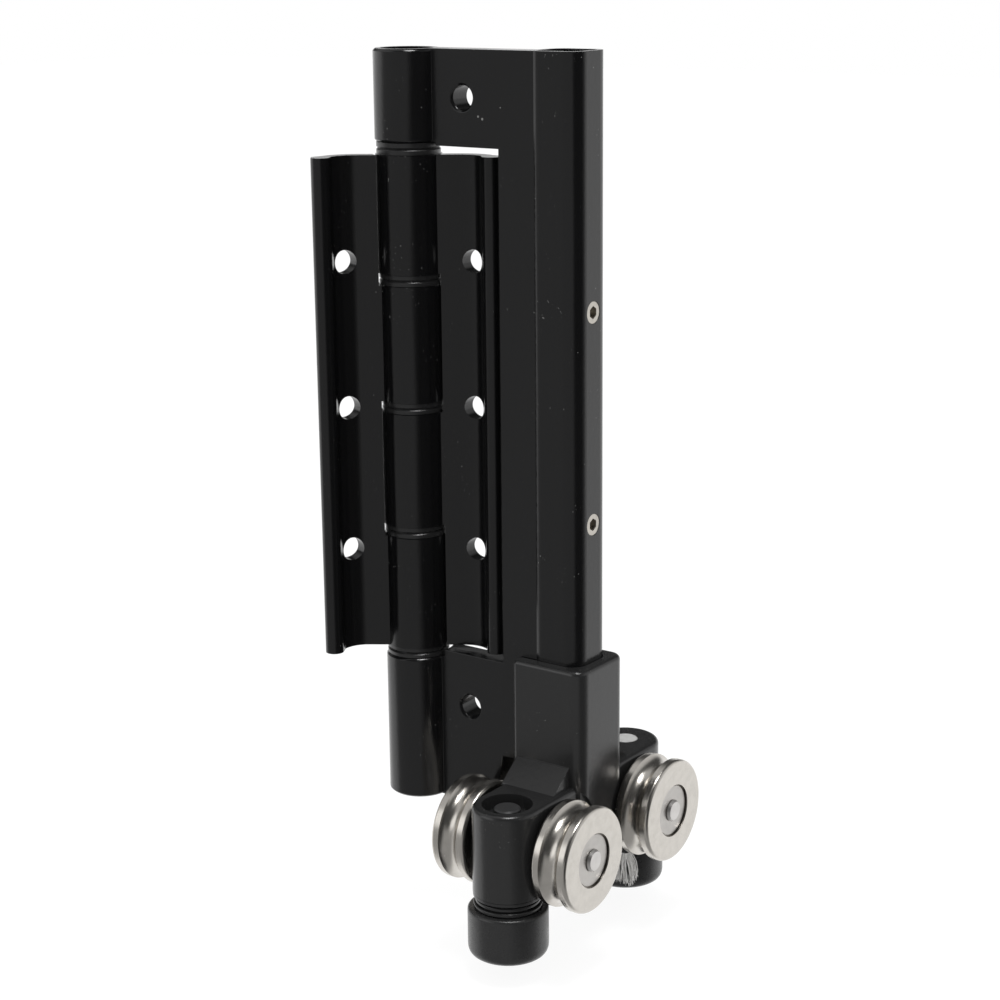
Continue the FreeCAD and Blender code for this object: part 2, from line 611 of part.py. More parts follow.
def make_carriage_body():
    """Casting with the sleeve for the column, the beam along the track and the bosses at its ends."""
    body = new_body("carriage_body")
    height = "beam_base - beam_top"

    beam = sketch_on(body, "XY_Plane", "beam", "-beam_base")
    outline(beam, [
        ("centre_x + beam_radius", "centre_y - boss_reach"),
        ("centre_x + beam_radius", "centre_y + boss_reach", "beam_radius", 1),
        ("centre_x", "centre_y + boss_reach + beam_radius", "beam_radius", 1),
        ("centre_x - beam_radius", "centre_y + boss_reach"),
        ("centre_x - beam_radius", "centre_y - boss_reach", "beam_radius", 1),
        ("centre_x", "centre_y - boss_reach - beam_radius", "beam_radius", 1)])
    stock = pad(body, beam, height, "beam_stock")
    upper = edges_of(stock, lambda edge, middle: abs(middle.z + value("beam_top")) < 1e-4)
    dress("Fillet", body, stock, upper, "beam_edge", "beam_upper_edge")

    left, right = "centre_x - sleeve_width / 2", "centre_x + sleeve_width / 2"
    near, far = "sleeve_left_corner", "sleeve_corner"
    sleeve = sketch_on(body, "XY_Plane", "sleeve", "-beam_base")
    outline(sleeve, [
        (f"{left} + {near}", "sleeve_front"), (f"{right} - {far}", "sleeve_front", far, 1),
        (right, f"sleeve_front + {far}"), (right, f"sleeve_back - {far}", far, 1),
        (f"{right} - {far}", "sleeve_back"), (f"{left} + {near}", "sleeve_back", near, 1),
        (left, f"sleeve_back - {near}"), (left, f"sleeve_front + {near}", near, 1)])
    stock = pad(body, sleeve, "beam_base - sleeve_top", "sleeve_stock")
    upper = edges_of(stock, lambda edge, middle: abs(middle.z + value("sleeve_top")) < 1e-4)
    dress("Fillet", body, stock, upper, "sleeve_rim", "sleeve_rim_rounding")

    for side, name in ((1, "right_scallops"), (-1, "left_scallops")):
        cut = sketch_on(body, "YZ_Plane", name, f"centre_x + {side} * (sleeve_width / 2 + 1)")
        for way in (-1, 1):
            circle(cut, f"centre_y + {way} * axle_reach", "-axle_drop", "wheel_radius + wheel_space")
        pocket(body, cut, "sleeve_width / 2 + 1 - scallop_face", name + "_cut", side < 0)

    for name, face, way in (("front_gusset", "sleeve_front", -1), ("rear_gusset", "sleeve_back", 1)):
        gusset = sketch_on(body, "YZ_Plane", name, "centre_x - gusset_width / 2")
        foot = f"({face}) + {way} * gusset_reach"
        inside = f"({face}) - {way} * sleeve_wall"
        outline(gusset, [(foot, "-beam_top"), (face, "-beam_top + gusset_rise"),
                         (inside, "-beam_top + gusset_rise"), (inside, "-beam_top - 1"),
                         (foot, "-beam_top - 1")])
        pad(body, gusset, "gusset_width", name + "_stock")

    for side, name in ((1, "right_hub"), (-1, "left_hub")):
        hubs = sketch_on(body, "YZ_Plane", name, "centre_x" if side > 0 else "centre_x - hub_face")
        for way in (-1, 1):
            circle(hubs, f"centre_y + {way} * axle_reach", "-axle_drop", "hub_radius")
        pad(body, hubs, "hub_face", name + "_stock")

    for name, way in (("front", -1), ("rear", 1)):
        y = f"centre_y + {way} * boss_reach"
        neck = sketch_on(body, "XY_Plane", name + "_neck", "-beam_base - neck_height")
        circle(neck, "centre_x", y, "neck_radius")
        pad(body, neck, "neck_height + 1", name + "_neck_stock")
        collar = sketch_on(body, "XY_Plane", name + "_collar", "-collar_base")
        circle(collar, "centre_x", y, "collar_radius")
        pad(body, collar, "collar_base - beam_base", name + "_collar_stock")
        hole = sketch_on(body, "XY_Plane", name + "_pin_hole", "-beam_top")
        circle(hole, "centre_x", y, "roller_pin + seat_gap")
        pocket(body, hole, "collar_base - beam_top", name + "_pin_hole_cut")

    recess = sketch_on(body, "XY_Plane", "front_recess_section", "-beam_top")
    circle(recess, "centre_x", "centre_y - boss_reach", "front_recess")
    pocket(body, recess, "front_recess_depth", "front_recess_cut")
    recess = sketch_on(body, "XY_Plane", "rear_head_seat", "-beam_top")
    circle(recess, "centre_x", "centre_y + boss_reach", "roller_pin_head + seat_gap")
    pocket(body, recess, "roller_pin_head_height", "rear_head_seat_cut")

    socket = sketch_on(body, "XY_Plane", "socket", "-sleeve_top")
    rectangle(socket, "centre_x - socket_width / 2", "centre_x + socket_width / 2",
              "centre_y - socket_depth / 2", "centre_y + socket_depth / 2", "column_corner")
    pocket(body, socket, "socket_floor - sleeve_top", "socket_cut")

    slot = sketch_on(body, "XY_Plane", "web_slot", "-sleeve_top")
    rectangle(slot, "centre_x - sleeve_width", "centre_x", "-slot_gap", "web_thickness + slot_gap")
    pocket(body, slot, "beam_top - sleeve_top", "web_slot_cut")

    axles = sketch_on(body, "YZ_Plane", "axle_holes", "centre_x + hub_face")
    for way in (-1, 1):
        circle(axles, f"centre_y + {way} * axle_reach", "-axle_drop", "axle_radius + seat_gap")
    pocket(body, axles, "2 * hub_face", "axle_holes_cut")

    seat = sketch_on(body, "XY_Plane", "adjuster_hole", "-socket_floor + 1")
    circle(seat, "centre_x", "centre_y", "adjuster_radius")
    pocket(body, seat, "beam_base - socket_floor + 1", "adjuster_hole_cut")
    seat = sketch_on(body, "XY_Plane", "adjuster_clip_seat", "-clip_seat")
    circle(seat, "centre_x", "centre_y", "clip_radius + 0.5")
    cut = pocket(body, seat, "beam_base - clip_seat", "adjuster_clip_seat_cut")
    return body


def make_axle(name, way):
    """Axle of two wheels, riveted over at both ends."""
    end = "axle_end"
    body = turned(name, "X", [
        (f"-({end}) - axle_head_height", "0"), (f"-({end}) - axle_head_height", "axle_head - 0.4"),
        (f"-({end}) - 0.2", "axle_head"), (f"-({end})", "axle_head"), (f"-({end})", "axle_radius"),
        (end, "axle_radius"), (end, "axle_head"), (f"{end} + 0.2", "axle_head"),
        (f"{end} + axle_head_height", "axle_head - 0.4"), (f"{end} + axle_head_height", "0")])
    place(body, "centre_x", f"centre_y + {way} * axle_reach", "-axle_drop")


def make_wheel(name, side, way):
    """Wheel with a round groove between two flanges."""
    half = "wheel_width / 2"
    groove = "wheel_groove_width / 2"
    body = turned(name, "X", [
        (f"-{half}", "bearing_radius"), (half, "bearing_radius"),
        (half, "wheel_radius - wheel_edge", "wheel_edge", 1),
        (f"{half} - wheel_edge", "wheel_radius"), (groove, "wheel_radius", "wheel_groove", -1),
        (f"-{groove}", "wheel_radius"), (f"wheel_edge - {half}", "wheel_radius", "wheel_edge", 1),
        (f"-{half}", "wheel_radius - wheel_edge")])
    place(body, f"centre_x + {side} * wheel_offset", f"centre_y + {way} * axle_reach", "-axle_drop")


def make_bearing(name, side, way):
    """Shielded bearing in a wheel, with a sunk ring round each shield."""
    face = "bearing_width / 2"
    shield = "bearing_radius - bearing_ring"
    floor = f"{face} - bearing_ring_depth"
    bore = "axle_radius + running_gap"
    body = turned(name, "X", [
        (f"-{face}", bore), (face, bore), (face, shield), (floor, shield),
        (floor, "bearing_radius"), (f"-({floor})", "bearing_radius"),
        (f"-({floor})", shield), (f"-{face}", shield)])
    place(body, f"centre_x + {side} * wheel_offset", f"centre_y + {way} * axle_reach", "-axle_drop")


def make_wheels():
    for end, way in (("front", -1), ("rear", 1)):
        make_axle(end + "_axle", way)
        for hand, side in (("left", -1), ("right", 1)):
            make_wheel(f"{end}_{hand}_wheel", side, way)
            make_bearing(f"{end}_{hand}_bearing", side, way)


def make_guide_roller(end, way, head_top):
    """Plastic roller that runs in the track's groove, with the pin and clip that carry it."""
    y = f"centre_y + {way} * boss_reach"
    bore = "roller_pin + running_gap"
    top, base, shelf = "-roller_top", "-roller_base", "-roller_recess_top"
    body = turned(end + "_guide_roller", "Z", [
        (bore, top), (bore, shelf), ("roller_recess", shelf), ("roller_recess", base),
        ("roller_radius - roller_edge", base, "roller_edge", 1),
        ("roller_radius", f"{base} + roller_edge"), ("roller_radius", f"{top} - 0.6"),
        ("roller_radius - 0.6", top)])
    place(body, "centre_x", y)
    pin_base = f"{shelf} - end_gap - clip_height - 0.6"
    head_base = f"{head_top} - roller_pin_head_height"
    body = turned(end + "_roller_pin", "Z", [
        ("0", pin_base), ("roller_pin - 0.4", pin_base), ("roller_pin", f"{pin_base} + 0.4"),
        ("roller_pin", head_base), ("roller_pin_head", head_base),
        ("roller_pin_head", f"{head_top} - 0.3"), ("roller_pin_head - 0.3", head_top), ("0", head_top)])
    place(body, "centre_x", y)
    make_clip(end + "_roller_clip", "centre_x", y, f"{shelf} - end_gap", "roller_pin")


def make_brush():
    """Track brush: a holder under the beam and two rows of bristle tufts."""
    holder = new_body("brush_holder")
    y = "centre_y + brush_reach"
    section = sketch_on(holder, "XY_Plane", "holder_section", "-beam_base - brush_holder_height")
    rectangle(section, "-brush_width / 2", "brush_width / 2", "-brush_depth / 2", "brush_depth / 2", "0.8")
    pad(holder, section, "brush_holder_height", "holder_stock")
    place(holder, "centre_x", y)

    bristles = new_body("brush_bristles")
    mat = sketch_on(bristles, "XY_Plane", "mat_section", "-beam_base - brush_holder_height - 1")
    rectangle(mat, "-brush_width / 2 + 0.4", "brush_width / 2 - 0.4", "-brush_depth / 2 + 0.3",
              "brush_depth / 2 - 0.3")
    pad(bristles, mat, "1", "mat_stock")
    tufts = sketch_on(bristles, "XY_Plane", "tuft_sections", "-beam_base - brush_height")
    for step in range(-3, 4):
        circle(tufts, f"{step} * tuft_pitch" if step else "0", "0", "tuft_radius")
    pad(bristles, tufts, "brush_height - brush_holder_height - 0.5", "tufts_stock")
    place(bristles, "centre_x", y)


make_hinge_frame()
make_leaf("right_leaf", -1, 0, "leaf_angle")
make_leaf("left_leaf", 1, 1, "180 + leaf_angle")
make_hinge_pin()
make_bushes()
make_adjuster_block()
make_adjuster_screw()
make_clip("adjuster_clip", "centre_x", "centre_y", "-clip_seat - end_gap", "adjuster_radius - 0.1")
make_lock_screws()
make_carriage_body()
make_wheels()
make_guide_roller("front", -1, "-beam_top - 0.8")
make_guide_roller("rear", 1, "-beam_top")
make_brush()
doc.recompute()

for item in doc.Objects:
    if "Invalid" in item.State or "Error" in item.State:
        raise RuntimeError(f"{item.Label}: {item.State}")

os.makedirs("parts", exist_ok=True)
nodes = [item for item in doc.Objects if item.TypeId in ("PartDesign::Body", "Part::Compound")]
for node in nodes:
    shape = node.Shape
    if shape.isNull() or not shape.isValid() or not shape.Solids:
        raise RuntimeError(f"{node.Label}: no valid solid")
    shape.exportStep(f"parts/{node.Label}.step")
    box = shape.BoundBox
    print(f"{node.Label:22s} solids {len(shape.Solids)} volume {shape.Volume:9.1f} "
          f"x {box.XMin:7.2f} {box.XMax:7.2f} y {box.YMin:7.2f} {box.YMax:7.2f} "
          f"z {box.ZMin:8.2f} {box.ZMax:8.2f}")
print(len(nodes), "nodes")
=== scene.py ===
# %% [markdown]
# # A folding door hinge with its track carriage
#
# The panels of a folding door are joined by hinges like this one. Two leaves turn on a long pin, a
# frame in the shape of a letter C holds the pin by its two ends, and the frame's box column slides
# up and down in a small carriage that rolls in the track. This lesson takes the solid model of the
# hinge, which already has the right sizes, and gives it its finishes, its light and its camera.
# The solid model is drawn in metres and a hinge is thought of in millimetres, so one named value
# stands for a millimetre from here on.

# %% Load the solid model
import math
import random

import bmesh
import bpy
from mathutils import Matrix, Vector


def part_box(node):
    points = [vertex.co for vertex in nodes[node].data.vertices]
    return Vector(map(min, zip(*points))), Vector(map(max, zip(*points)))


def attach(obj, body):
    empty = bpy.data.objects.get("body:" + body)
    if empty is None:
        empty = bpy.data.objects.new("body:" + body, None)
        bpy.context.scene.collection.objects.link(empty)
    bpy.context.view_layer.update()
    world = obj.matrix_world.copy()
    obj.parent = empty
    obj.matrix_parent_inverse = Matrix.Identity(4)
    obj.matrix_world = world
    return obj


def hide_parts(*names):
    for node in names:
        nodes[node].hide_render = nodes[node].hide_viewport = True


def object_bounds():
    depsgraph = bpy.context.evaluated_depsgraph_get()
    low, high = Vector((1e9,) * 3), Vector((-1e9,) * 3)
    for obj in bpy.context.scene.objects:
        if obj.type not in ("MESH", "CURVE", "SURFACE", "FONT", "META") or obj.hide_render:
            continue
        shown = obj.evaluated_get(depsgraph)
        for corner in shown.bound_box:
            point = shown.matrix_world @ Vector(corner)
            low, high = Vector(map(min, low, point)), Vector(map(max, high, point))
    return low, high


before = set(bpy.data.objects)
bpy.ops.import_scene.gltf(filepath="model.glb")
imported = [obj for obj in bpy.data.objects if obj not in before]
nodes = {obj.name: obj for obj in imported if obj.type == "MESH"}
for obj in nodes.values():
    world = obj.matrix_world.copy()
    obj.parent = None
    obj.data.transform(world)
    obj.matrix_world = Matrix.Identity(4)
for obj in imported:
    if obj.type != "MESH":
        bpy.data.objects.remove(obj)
solid_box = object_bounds()
MM = 0.001
print("pieces in the solid model:", len(nodes))

# %% [markdown]
# ## A short way to write shaders
#
# A material in Blender is a web of nodes. It could be clicked together in the editor, or written with
# a line for each node and each link, but a long list hides the idea. So one small class wraps an
# output socket and lets Python's own operators work on it: `1 - mask * 0.5` adds the Math nodes by
# itself. A second class holds the material and has the one method that makes every other kind of
# node.


# %% A socket that Python can calculate with
class Signal:
    """An output socket of a material, ready for sums."""

    def __init__(self, finish, socket):
        self.finish = finish
        self.socket = socket

    def math(self, operation, first, second):
        return self.finish.node("Math", {"operation": operation}, {0: first, 1: second})

    def __add__(self, other):
        return self.math("ADD", self, other)

    def __radd__(self, other):
        return self.math("ADD", other, self)

    def __sub__(self, other):
        return self.math("SUBTRACT", self, other)

    def __rsub__(self, other):
        return self.math("SUBTRACT", other, self)

    def __mul__(self, other):
        return self.math("MULTIPLY", self, other)

    def __rmul__(self, other):
        return self.math("MULTIPLY", other, self)

    def __pow__(self, other):
        return self.math("POWER", self, other)

    def rises(self, low, high):
        """0 below low, 1 above high and a smooth step between them."""
        settings = {"interpolation_type": "SMOOTHSTEP", "clamp": True}
        ends = {"Value": self, "From Min": low, "From Max": high}
        return self.finish.node("MapRange", settings, ends)


# %% A material with one method for its nodes
class Finish:
    """A material under construction."""

    def __init__(self, name, owner=None):
        self.material = owner or bpy.data.materials.new(name)
        self.material.use_nodes = True
        self.tree = self.material.node_tree
        self.tree.nodes.clear()

    def node(self, kind, settings=None, sockets=None, out=0):
        """Add a node, set it up, join its inputs and give back one of its outputs."""
        made = self.tree.nodes.new("ShaderNode" + kind)
        for name, value in (settings or {}).items():
            setattr(made, name, value)
        for name, value in (sockets or {}).items():
            if isinstance(value, Signal):
                self.tree.links.new(value.socket, made.inputs[name])
            else:
                made.inputs[name].default_value = value
        return Signal(self, made.outputs[out]) if len(made.outputs) else None

    def place(self):
        """Where a point lies on the part, in millimetres from the part's origin."""
        where = self.node("TexCoord", out="Object")
        return self.node("VectorMath", {"operation": "SCALE"}, {0: where, "Scale": 1 / MM})

    def axis(self, vector, letter):
        """One of the three numbers of a vector."""
        return self.node("SeparateXYZ", sockets={"Vector": vector}, out=letter)

    def noise(self, where, scale, detail=2.0, rough=0.5):
        """A cloudy pattern from 0 to 1. The larger the scale, the finer the clouds."""
        return self.node("TexNoise", {}, {"Vector": where, "Scale": scale, "Detail": detail,
                                          "Roughness": rough})

    def blend(self, amount, first, second):
        """Go from the first colour to the second."""
        return self.node("Mix", {"data_type": "RGBA"}, {0: amount, 6: first, 7: second}, out=2)

    def bump(self, height, strength, distance):
        """Bend the light as a low relief would, without a change to the mesh."""
        return self.node("Bump", {}, {"Height": height, "Strength": strength, "Distance": distance})

    def finish(self, **sockets):
        """Close the material with the one shader that all the finishes of this hinge use."""
        inputs = {name.replace("_", " "): value for name, value in sockets.items()}
        shader = self.node("BsdfPrincipled", {}, inputs)
        self.node("OutputMaterial", {}, {"Surface": shader})
        print("finish:", self.material.name, "with", len(self.tree.nodes), "nodes")
        return self.material


# %% [markdown]
# ## Dressing a piece
#
# Each piece of the solid model came with a plain material in its slot. The mesh could be given a new
# list of materials, but the slots carry the names that join the piece to its record, so it is safer
# to leave them and to change only what hangs in them. Stained and worn places are mostly the same
# colour, only darker, so a second small function darkens a tone.


# %% Fill the slots
def coat(finish, *pieces):
    """Give a finish to pieces of the solid model, by way of their material slots."""
    for piece in pieces:
        for slot in nodes[piece].material_slots:
            slot.material = finish
    print(finish.name, "on", ", ".join(pieces))


def darker(tone, share):
    """A colour with only a share of its light."""
    return tuple(part * share for part in tone[:3]) + (1.0,)


# %% [markdown]
# ## Black powder coat
#
# The frame, the leaves and the carriage are aluminium and zinc with a black powder coat. The powder
# melts into a smooth skin that is not quite flat: a low, wide ripple bends the reflections a little.
# Handling leaves pale specks of dust and small nicks. A painted picture could hold all that, but it
# would need a layout of its own for every piece and would blur from close by. Noise has no such
# limit, so the ripple, the haze and the dust are three noises, and a nick is no more than the
# distance to a point. The colour alone would look dead, so most of the work goes into the ripple
# and into where the gloss is a little duller.

# %% Powder coat
dust_grey = (0.20, 0.20, 0.195, 1.0)
nick_strength, relief, relief_depth = 1.3, 0.25, 0.0002


def powder_coat(name, tone, gloss, ripple, specks, nicks=()):
    """Glossy black paint. Each nick is a place on the part and its size, in millimetres."""
    # A noise's scale is its clouds to the millimetre: the ripple is 1 mm wide and the haze 17 mm.
    paint = Finish(name)
    where = paint.place()
    skin = paint.noise(where, 0.9, 3.0, 0.55)
    grain = paint.noise(where, 6.0, 2.0, 0.6)
    haze = paint.noise(where, 0.06, 3.0, 0.6).rises(0.35, 0.75)
    dusty_spot = paint.noise(where, 0.11, 2.0).rises(0.52, 0.62)
    dust = paint.noise(where, 2.1, 1.0, 0.4).rises(0.755, 0.78) * dusty_spot
    fleck = dust * specks
    for x, y, z, size in nicks:
        away = paint.node("VectorMath", {"operation": "DISTANCE"}, {0: where, 1: (x, y, z)},
                          out="Value")
        fleck = fleck + (1.0 - away.rises(size * 0.4, size)) * nick_strength
    height = skin * ripple + grain * (ripple * 0.25) + fleck * 0.3
    return paint.finish(
        Base_Color=paint.blend(fleck, tone, dust_grey),
        Roughness=gloss + haze * 0.05 + fleck * 0.3,
        Normal=paint.bump(height, relief, relief_depth))


# %% [markdown]
# ## Three coats
#
# One recipe serves three times. The extruded frame and leaves are the blackest and the glossiest.
# The cast carriage is a little paler and duller. A nick could be left to chance too, but four of them
# stand near the upper screw hole, where a screwdriver slips, so those get places of their own.

# %% Frame, leaves and carriage
frame_nicks = ((4.4, 0.0, 65.8, 0.30), (5.5, 0.0, 65.3, 0.36),
               (18.3, -0.3, 63.1, 0.22), (10.3, 0.0, 67.9, 0.18))
frame_coat = powder_coat("frame powder coat", (0.0045, 0.0045, 0.0048, 1), 0.15, 0.55, 0.9,
                         frame_nicks)
leaf_coat = powder_coat("leaf powder coat", (0.0036, 0.0036, 0.0039, 1), 0.14, 0.5, 0.6)
carriage_coat = powder_coat("carriage coat", (0.0170, 0.0170, 0.0172, 1), 0.2, 0.7, 0.4)
coat(frame_coat, "hinge_frame")
coat(leaf_coat, "left_leaf", "right_leaf")
coat(carriage_coat, "carriage_body")

# %% [markdown]
# ## Black plastic
#
# The bushes between the knuckles, the two guide rollers and the brush holder are moulded plastic.
# The paint could be used again, because the black is nearly the same. But plastic has a duller shine,
# a fine grain from the mould and paler patches where it has been rubbed, and no ripple, so it gets a
# short recipe of its own.

# %% Moulded plastic
rubbed_black = (0.016, 0.016, 0.0165, 1.0)


def moulded_plastic(name, tone, gloss):
    """Satin black plastic with a fine grain."""
    plastic = Finish(name)
    where = plastic.place()
    grain = plastic.noise(where, 9.0, 3.0, 0.6)
    rub = plastic.noise(where, 0.35, 3.0, 0.65).rises(0.45, 0.8)
    return plastic.finish(
        Base_Color=plastic.blend(rub * 0.5, tone, rubbed_black),
        Roughness=gloss + rub * 0.1,
        Normal=plastic.bump(grain, 0.2, 0.0001))


bush_plastic = moulded_plastic("bush plastic", (0.014, 0.014, 0.0142, 1), 0.17)
roller_plastic = moulded_plastic("roller plastic", (0.020, 0.020, 0.0203, 1), 0.27)
coat(bush_plastic, "top_bush", "upper_bush", "middle_bush", "lower_bush", "bottom_bush")
coat(roller_plastic, "brush_holder")

# %% [markdown]
# ## Turned steel
#
# The wheels are turned on a lathe, which leaves rings of fine tool marks round the axle. The rings
# could be cut into the mesh, at the price of very many faces. As a texture they are easy to get: the
# distance from the axle's line goes into a noise that has no other input but the place along the
# axle, so the noise is the same all round. The front and the rear wheels turn about different lines,
# so each axle has materials of its own.

# %% Where the axles lie
axle_lines = {}
for end in ("front", "rear"):
    low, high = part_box(end + "_axle")
    axle_lines[end] = (low + high) / 2 / MM
    print(end, "axle at", [round(number, 2) for number in axle_lines[end]], "mm")


# %% Turned steel
def turned_steel(name, end, tone, gloss, mark):
    """Bright steel with tool marks round the front or the rear axle."""
    steel = Finish(name)
    where = steel.place()
    side = steel.axis(where, "X")
    across = steel.axis(where, "Y") - axle_lines[end].y
    up = steel.axis(where, "Z") - axle_lines[end].z
    radius = (across * across + up * up) ** 0.5
    ring_place = steel.node("CombineXYZ", {}, {"X": side * 1.5, "Y": radius})
    rings = steel.noise(ring_place, 7.0, 3.0, 0.7)
    cloud = steel.noise(where, 0.5, 3.0, 0.6).rises(0.3, 0.8)
    return steel.finish(
        Base_Color=steel.blend(cloud * 0.35 + rings * 0.2, tone, darker(tone, 0.8)),
        Metallic=1.0,
        Roughness=gloss + rings * 0.08 + cloud * 0.04,
        Normal=steel.bump(rings, mark, 0.00004))


# %% Wheels, bearings and axles
for end in ("front", "rear"):
    wheel_steel = turned_steel(end + " wheel steel", end, (0.645, 0.615, 0.57, 1), 0.19, 0.35)
    shield_steel = turned_steel(end + " bearing steel", end, (0.56, 0.54, 0.515, 1), 0.3, 0.2)
    axle_steel = turned_steel(end + " axle steel", end, (0.71, 0.69, 0.67, 1), 0.32, 0.2)
    coat(wheel_steel, end + "_left_wheel", end + "_right_wheel")
    coat(shield_steel, end + "_left_bearing", end + "_right_bearing")
    coat(axle_steel, end + "_axle")

# %% [markdown]
# ## Pins, screws and clips
#
# These small steel pieces show only their ends. They could have the wheels' tool marks, but a drawn
# bar has faint scratches in every direction and no rings, and so little of it shows that a fine noise
# on the roughness is enough. The pins' ends are dull and only partly metal, so a plain colour hides
# some of the metal's mirror. The hinge pin and the front roller pin, which sit in bores, get a
# near-black tone.


# %% Plain steel
def plain_steel(name, tone, gloss, metal=1.0):
    """Drawn steel with faint scratches and stains."""
    steel = Finish(name)
    where = steel.place()
    scratch = steel.noise(where, 3.0, 4.0, 0.7)
    stain = steel.noise(where, 0.6, 2.0, 0.6).rises(0.4, 0.8)
    return steel.finish(
        Base_Color=steel.blend(stain * 0.5, tone, darker(tone, 0.7)),
        Metallic=metal,
        Roughness=gloss + scratch * 0.15,
        Normal=steel.bump(scratch, 0.15, 0.00005))


# %% Small steel pieces
# The hinge pin and the front roller pin get a near-black tone, the rear roller pin and the screw a
# bright one.
dark_pin_steel = plain_steel("dark pin steel", (0.045, 0.045, 0.046, 1), 0.3, 0.3)
bright_pin_steel = plain_steel("bright pin steel", (0.58, 0.58, 0.57, 1), 0.5, 0.2)
lock_screw_steel = plain_steel("lock screw steel", (0.56, 0.53, 0.48, 1), 0.25)
clip_steel = plain_steel("clip steel", (0.3, 0.3, 0.31, 1), 0.35)
coat(dark_pin_steel, "hinge_pin", "front_roller_pin")
coat(bright_pin_steel, "rear_roller_pin", "adjuster_screw")
coat(lock_screw_steel, "lock_screws")
coat(clip_steel, "adjuster_clip", "front_roller_clip", "rear_roller_clip", "adjuster_block")

# %% [markdown]
# ## The brush
#
# A brush in front of the rear guide roller sweeps the track. The solid model has plain tufts, which
# serve for its size and weight. Blender's hair could grow the bristles, but they would be curves that
# an exported model loses. So each bristle is a mesh: a thin cone of four sides that starts in the
# holder, bows to one side and splays out. All of them are drawn into one mesh, which stays light.


# %% Turn a drawn mesh into a piece
def make_piece(name, mesh, *finishes):
    """Make an object of a drawn mesh, with its finishes, and put it into the scene."""
    shape = bpy.data.meshes.new(name)
    mesh.to_mesh(shape)
    mesh.free()
    for finish in finishes:
        shape.materials.append(finish)
    piece = bpy.data.objects.new(name, shape)
    bpy.context.scene.collection.objects.link(piece)
    print(name, "has", len(shape.polygons), "faces")
    return piece


# %% One bristle
bristle_stations = ((0.0, 0.0, 1.0), (0.4, 1.0, 0.9), (0.75, 0.8, 0.75), (1.0, 0.0, 0.35))
quarter_turns = (0, math.pi / 2, math.pi, 3 * math.pi / 2)


def add_bristle(mesh, root, tip, bow, thick, shade):
    """One tapered bristle. A station is a share of its length, of its bow and of its thickness."""
    along = (tip - root).normalized()
    side = along.cross(Vector((0, 1, 0))).normalized()
    other = along.cross(side)
    rings = []
    for share, bowed, size in bristle_stations:
        point, radius = root * (1 - share) + tip * share + bow * bowed, thick * size
        rings.append([mesh.verts.new(point + side * (radius * math.cos(turn))
                                     + other * (radius * math.sin(turn)))
                      for turn in quarter_turns])
    faces = [(first[corner - 1], first[corner], second[corner], second[corner - 1])
             for first, second in zip(rings, rings[1:]) for corner in range(4)]
    for corners in faces + [tuple(reversed(rings[0])), tuple(rings[-1])]:
        mesh.faces.new(corners).material_index = shade


# %% Three rows of tufts
random.seed(7)
low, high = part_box("brush_bristles")
brush_height = high.z - low.z
tufts, bristles_in_tuft, row_space = 9, 46, 0.9 * MM
dark_share, dark_shade, pale_shade = 0.12, 1, 0
side_room, front_room, back_room = 1.5 * MM, 0.9 * MM, 0.2 * MM


def scatter(x_mean, x_spread, y_mean, y_spread):
    """A random step to the side, in millimetres, level with the ground."""
    return Vector((random.gauss(x_mean, x_spread), random.gauss(y_mean, y_spread), 0)) * MM


brush_mesh = bmesh.new()
for row in (-1, 0, 1):
    for tuft in range(tufts):
        share = (tuft + 0.5) / tufts
        middle = Vector((low.x + (high.x - low.x) * share,
                         (low.y + high.y) / 2 + row * row_space, high.z))
        outward = (2 * share - 1) ** 3 * 1.6
        for number in range(bristles_in_tuft):
            spread = scatter(0, 0.5, 0, 0.3)
            splay = scatter(outward, 1.4, -0.6, 0.8)
            bow = scatter(0, 0.45, 0, 0.3)
            length = brush_height * random.uniform(0.82, 1.0)
            tip = middle + spread * 1.6 + splay + Vector((0, 0, -length))
            tip.x = min(max(tip.x, low.x - side_room), high.x + side_room)
            tip.y = min(max(tip.y, low.y - front_room), high.y + back_room)
            shade = dark_shade if random.random() < dark_share else pale_shade
            add_bristle(brush_mesh, middle + spread, tip, bow, random.uniform(0.09, 0.15) * MM, shade)


# %% Pale and dark bristles
def bristle_finish(name, tone):
    """Dull fibre with darker streaks."""
    hair = Finish(name)
    streak = hair.noise(hair.place(), 1.4, 3.0, 0.7)
    return hair.finish(
        Base_Color=hair.blend(streak, tone, darker(tone, 0.75)),
        Roughness=0.45 + streak * 0.2)


bristles = make_piece("bristles", brush_mesh,
                      bristle_finish("pale bristles", (0.9, 0.89, 0.87, 1)),
                      bristle_finish("dark bristles", (0.05, 0.05, 0.05, 1)))
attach(bristles, "carriage")
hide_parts("brush_bristles")

# %% [markdown]
# ## Rollers and the rings over them
#
# The guide rollers and the rings over them are seen from close by, so they get rounder edges than the
# solid model has. A Bevel modifier could round them, but it rounds every edge by the same width, and
# a roller has a wide curve below and a narrow one above. A lathe does better: each shape is a short
# profile, turned about the roller's own axis. The profile holds pairs of a radius and a height in
# millimetres, and a third number rounds that corner.


# %% Round the corners of a profile
def rounded(profile, steps=6):
    """Swap each corner that has a third number for a short arc."""
    line = []
    for index, corner in enumerate(profile):
        here = Vector(corner[:2])
        if len(corner) == 2:
            line.append(here)
            continue
        before = (Vector(profile[index - 1][:2]) - here).normalized()
        after = (Vector(profile[(index + 1) % len(profile)][:2]) - here).normalized()
        first, last = here + before * corner[2], here + after * corner[2]
        for step in range(steps + 1):
            share = step / steps
            line.append(first * (1 - share) ** 2 + here * (2 * share * (1 - share))
                        + last * share ** 2)
    return line


